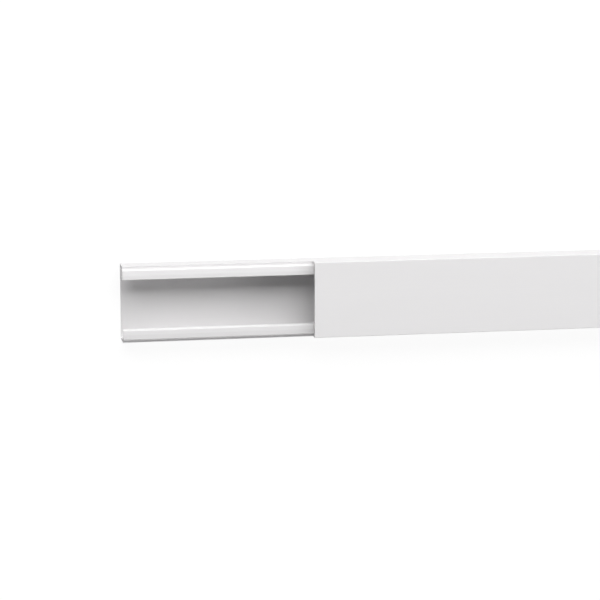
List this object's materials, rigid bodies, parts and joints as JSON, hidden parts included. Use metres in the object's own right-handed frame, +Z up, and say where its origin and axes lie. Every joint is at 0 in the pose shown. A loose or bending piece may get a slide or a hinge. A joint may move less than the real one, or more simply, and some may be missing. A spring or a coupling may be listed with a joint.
{
  "type": "mini cable trunking",
  "caption": "White plastic mini cable trunking: a U-shaped base channel with hooked lips and a flat clip-on cover that slides along it, hiding cables run along a wall.",
  "frame": {"origin": "centre of the base's flat back face, which lies on the floor", "axes": "+X along the stock, from the bare end of the base towards the end that the cover overhangs; +Y across it; +Z up, from the back face towards the cover"},
  "size_m": [1.1, 0.04, 0.016],
  "materials": {
    "base_pvc": "satin white rigid PVC, extruded, with sawn ends",
    "cover_pvc": "satin white rigid PVC, extruded, with sawn ends"
  },
  "bodies": {
    "base": {"base": "base_pvc"},
    "cover": {"cover": "cover_pvc"}
  },
  "joints": [
    {"name": "cover_slide", "type": "slide", "parent": "base", "child": "cover", "axis": [1, 0, 0], "range_m": [-0.1, 0.9]}
  ]
}
